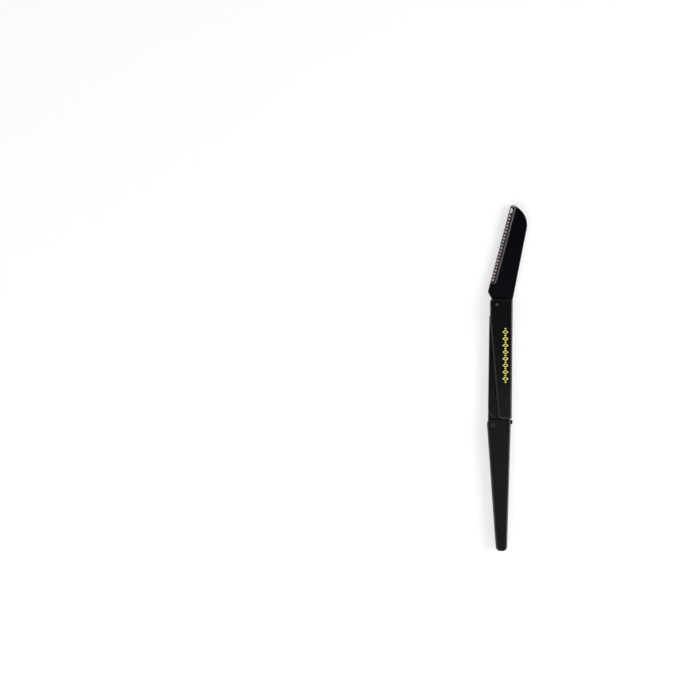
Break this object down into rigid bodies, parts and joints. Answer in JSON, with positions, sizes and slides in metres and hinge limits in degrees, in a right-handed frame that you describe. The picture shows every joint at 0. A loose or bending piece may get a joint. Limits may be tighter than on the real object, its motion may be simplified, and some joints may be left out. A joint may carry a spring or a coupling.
{
  "type": "folding eyebrow razor",
  "caption": "Slim brow razor that folds in three sections: a head with a straight blade behind a perforated guard, a flat slotted sheath, and a tapered tail that closes over both.",
  "frame": {"origin": "middle of the sheath's back face, on which the razor lies", "axes": "+Y along the sheath from the tail to the head, +Z out of the front face, +X towards the closed side of the sheath"},
  "size_m": [0.0188, 0.163, 0.0056],
  "materials": {
    "sheath_plastic": "satin moulded black",
    "head_plastic": "gloss moulded black",
    "tail_plastic": "satin moulded black",
    "blade_steel": "ground edge on a brushed strip",
    "guard_steel": "thin polished foil",
    "head_pin_metal": "blackened steel, polished on the dome",
    "tail_pin_metal": "blackened steel",
    "washer_plastic": "dark nylon"
  },
  "bodies": {
    "sheath": {"sheath_front_shell": "sheath_plastic", "sheath_back_shell": "sheath_plastic", "head_pivot_pin": "head_pin_metal", "head_pivot_cap": "head_pin_metal", "head_washer_front": "washer_plastic", "head_washer_back": "washer_plastic"},
    "head": {"head_front_carrier": "head_plastic", "head_back_carrier": "head_plastic", "blade": "blade_steel", "blade_guard": "guard_steel"},
    "tail": {"tail_front_shell": "tail_plastic", "tail_back_shell": "tail_plastic", "tail_pivot_pin": "tail_pin_metal", "tail_pivot_cap": "tail_pin_metal", "tail_washer_front": "washer_plastic", "tail_washer_back": "washer_plastic"}
  },
  "joints": [
    {"name": "head_fold", "type": "hinge", "parent": "sheath", "child": "head", "pos_m": [-0.00179, 0.0254, 0.0027], "axis": [0, 0, 1], "range_deg": [0, 193.4]},
    {"name": "tail_fold", "type": "hinge", "parent": "sheath", "child": "tail", "pos_m": [-0.0036, -0.0314, 0.0027], "axis": [0, 0, 1], "range_deg": [-179.3, 0]}
  ]
}
